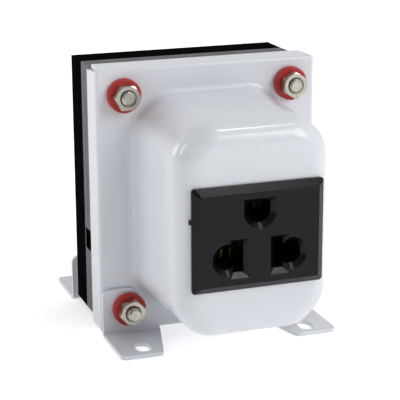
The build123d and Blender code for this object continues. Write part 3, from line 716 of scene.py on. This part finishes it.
def set_floor(width):
    """A pale floor that runs far behind the object."""
    deselect()
    bpy.ops.mesh.primitive_plane_add(size=width, location=(0, 0, 0))
    floor = bpy.context.object
    floor.name = "floor"
    material, tree, place = start_material("pale paper floor")
    # The paper's tone drifts by a hardly visible amount over some 400 mm
    paper = add_node(tree, NOISE, {"Vector": place, "Scale": 1 / (400 * MM), **SOFT})
    # The camera sees most of the added glow, which burns the paper out to white. The rest lifts
    # the feet
    seen = add_node(tree, "ShaderNodeLightPath").outputs["Is Camera Ray"]
    surface = add_node(tree, SHADER, {
        "Base Color": add_node(
            tree, RAMP, {"Fac": paper}, [(0.3, linear("F6F6F6")), (0.7, linear("FAFAFA"))]),
        "Roughness": 0.9,
        "Emission Color": (1, 1, 1, 1),
        "Emission Strength": add_node(tree, RANGE, {"Value": seen, "To Min": 0.22, "To Max": 0.5}),
    })
    paint(floor, end_material(material, tree, surface))


def set_surround(scene):
    """A white surround, dim at the left front, where the photograph's rounded edge is darkest."""
    world = bpy.data.worlds.new("white surround")
    scene.world = world
    world.use_nodes = True
    tree = world.node_tree
    # How far a direction points to the right rear, from -1 to 1
    right_rear = (0.6, 0.8, 0)
    direction = add_node(tree, "ShaderNodeTexCoord").outputs["Generated"]
    behind = add_node(
        tree, "ShaderNodeVectorMath", {0: direction, 1: right_rear}, operation="DOT_PRODUCT")
    strength = add_node(tree, RANGE, {
        "Value": behind.outputs["Value"], "From Min": -0.8, "From Max": 0.6,
        "To Min": 0.24, "To Max": 0.72})
    # The camera sees plain white all round
    seen = add_node(tree, "ShaderNodeLightPath").outputs["Is Camera Ray"]
    shown = add_node(tree, "ShaderNodeMath", {0: strength, 1: seen}, operation="MAXIMUM")
    background = tree.nodes["Background"]
    background.inputs["Color"].default_value = (1, 1, 1, 1)
    tree.links.new(shown.outputs[0], background.inputs["Strength"])


def area_light(name, place, width, height, watts):
    """A soft light that faces the object."""
    light = bpy.data.lights.new(name, "AREA")
    light.shape = "RECTANGLE"
    light.size = width
    light.size_y = height
    light.energy = watts
    holder = bpy.data.objects.new(name, light)
    bpy.context.scene.collection.objects.link(holder)
    holder.location = place
    aim = Vector((0, 0, MIDDLE_Z)) - Vector(place)
    holder.rotation_euler = aim.to_track_quat("-Z", "Y").to_euler()


def set_camera(scene):
    """The camera at the photograph's place, angle and focal length."""
    data = bpy.data.cameras.new("camera")
    camera = bpy.data.objects.new("camera", data)
    scene.collection.objects.link(camera)
    data.sensor_width = SENSOR_MM
    data.lens = SENSOR_MM * FOCAL_PIXELS / IMAGE_PIXELS
    data.clip_start = CLIP_START
    camera.location = Vector((0, FLANGE_Y, MIDDLE_Z)) + CAMERA_FROM_FLANGE
    level = math.cos(CAMERA_ELEVATION)
    forward = Vector((-math.sin(CAMERA_AZIMUTH) * level, math.cos(CAMERA_AZIMUTH) * level,
                      -math.sin(CAMERA_ELEVATION)))
    turn = forward.to_track_quat("-Z", "Y") @ Quaternion((0, 0, 1), CAMERA_ROLL)
    camera.rotation_euler = turn.to_euler()
    scene.camera = camera


class CONVERTER_PT_panel(bpy.types.Panel):
    """Lists the sizes, the colours and the steps"""
    bl_idname = "CONVERTER_PT_panel"
    bl_label = "Voltage converter"
    bl_space_type = "VIEW_3D"
    bl_region_type = "UI"
    bl_category = "Converter"

    def draw(self, context):
        scene = context.scene
        for group in (scene.converter_sizes, scene.converter_colours):
            for name in group.__annotations__:
                self.layout.prop(group, name)
        for operator in STEPS:
            self.layout.operator(operator.bl_idname)


STEPS = (
    CONVERTER_OT_stage,
    CONVERTER_OT_core,
    CONVERTER_OT_covers,
    CONVERTER_OT_fasteners,
    CONVERTER_OT_outlet,
    CONVERTER_OT_rear_fittings,
    CONVERTER_OT_inside,
)
CLASSES = (ConverterSizes, ConverterColours, *STEPS, CONVERTER_PT_panel)


def register():
    """Registers the classes and gives the scene its sizes and colours."""
    for made in CLASSES:
        bpy.utils.register_class(made)
    bpy.types.Scene.converter_sizes = bpy.props.PointerProperty(type=ConverterSizes)
    bpy.types.Scene.converter_colours = bpy.props.PointerProperty(type=ConverterColours)


def unregister():
    """Takes back what register gave."""
    del bpy.types.Scene.converter_colours
    del bpy.types.Scene.converter_sizes
    for made in reversed(CLASSES):
        bpy.utils.unregister_class(made)


def main():
    """Runs the steps in order."""
    register()
    # Colours reach the picture without a film curve
    bpy.context.scene.view_settings.view_transform = "Standard"
    bpy.ops.converter.stage()
    bpy.ops.converter.core()
    bpy.ops.converter.covers()
    bpy.ops.converter.fasteners()
    bpy.ops.converter.outlet()
    bpy.ops.converter.rear_fittings()
    bpy.ops.converter.inside()


if __name__ == "__main__":
    main()
